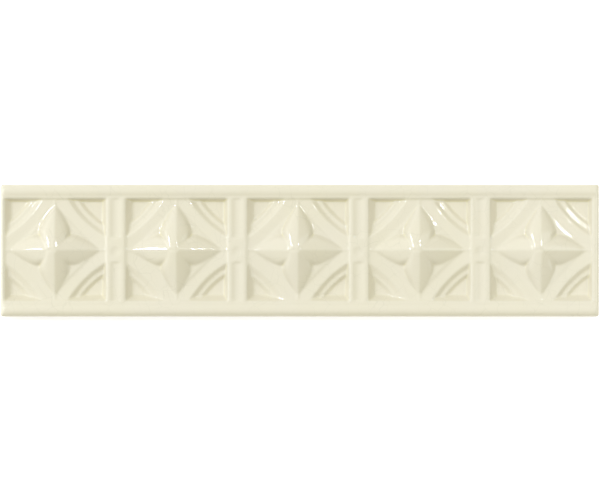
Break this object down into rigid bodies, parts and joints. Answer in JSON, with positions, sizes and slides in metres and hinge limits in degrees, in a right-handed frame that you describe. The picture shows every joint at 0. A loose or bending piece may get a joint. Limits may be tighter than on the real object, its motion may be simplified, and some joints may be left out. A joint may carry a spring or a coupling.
{
  "type": "ceramic relief border tile",
  "caption": "Long narrow glazed border tile with a row of square sunk panels, each with a four-leaved relief star, between rounded edge rails.",
  "frame": {"origin": "centre of the tile's footprint, on its flat back", "axes": "+X along the tile's length, +Y across its width, +Z out of its relief face"},
  "size_m": [0.2286, 0.0506, 0.0129],
  "materials": {
    "crackle_glaze": "glossy cream crackle glaze"
  },
  "bodies": {
    "root": {"border_tile": "crackle_glaze"}
  },
  "joints": []
}
